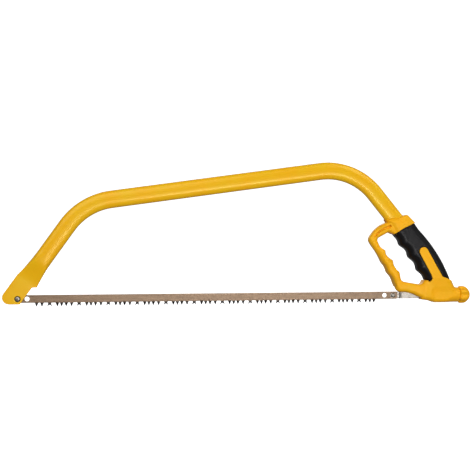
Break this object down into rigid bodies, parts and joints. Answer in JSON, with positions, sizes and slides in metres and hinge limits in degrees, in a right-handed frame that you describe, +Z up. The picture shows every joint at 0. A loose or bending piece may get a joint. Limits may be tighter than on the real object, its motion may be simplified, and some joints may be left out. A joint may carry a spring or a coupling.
{
  "type": "bow saw",
  "caption": "Bow saw with a bent flat-oval tube frame, a raker-tooth blade, a moulded handle with finger guard, and a knob that tensions the blade.",
  "frame": {"origin": "centre of the grip, in the middle plane of the saw", "axes": "+X along the blade from the nose to the handle, +Z up from the blade to the frame's limb, Y across the saw"},
  "size_m": [0.7505, 0.03, 0.2285],
  "materials": {
    "frame_paint": "semi-gloss powder coat, yellow",
    "handle_plastic": "satin moulded plastic, orange-yellow",
    "grip_rubber": "soft overmould, black",
    "blade_steel": "tan lacquered steel with hardened dark tooth tips",
    "zinc": "bright zinc plate",
    "stud_steel": "turned steel",
    "dark_steel": "blackened screw",
    "brass": "turned"
  },
  "bodies": {
    "frame": {"frame_tube": "frame_paint", "handle": "handle_plastic", "grip": "grip_rubber", "handle_screw": "dark_steel", "front_pin_screw": "zinc", "front_pin_washer": "zinc", "front_pin_nut": "zinc", "thrust_washer": "zinc"},
    "knob": {"knob": "handle_plastic", "knob_insert": "brass"},
    "tensioner": {"draw_bar": "zinc", "rear_stud": "stud_steel"},
    "blade": {"blade": "blade_steel"}
  },
  "joints": [
    {"name": "rod_slide", "type": "slide", "parent": "frame", "child": "tensioner", "axis": [1, 0, 0], "range_m": [-0.004, 0]},
    {"name": "knob_turn", "type": "hinge", "parent": "frame", "child": "knob", "pos_m": [0.073, 0, -0.07], "axis": [1, 0, 0], "range_deg": [0, 1440]},
    {"name": "blade_shift", "type": "slide", "parent": "frame", "child": "blade", "axis": [1, 0, 0], "range_m": [-0.002, 0]}
  ],
  "couplings": [
    {"joint": "knob_turn", "follows": "rod_slide", "rad_per_m": -6283.1},
    {"joint": "blade_shift", "follows": "rod_slide", "ratio": 0.5}
  ]
}
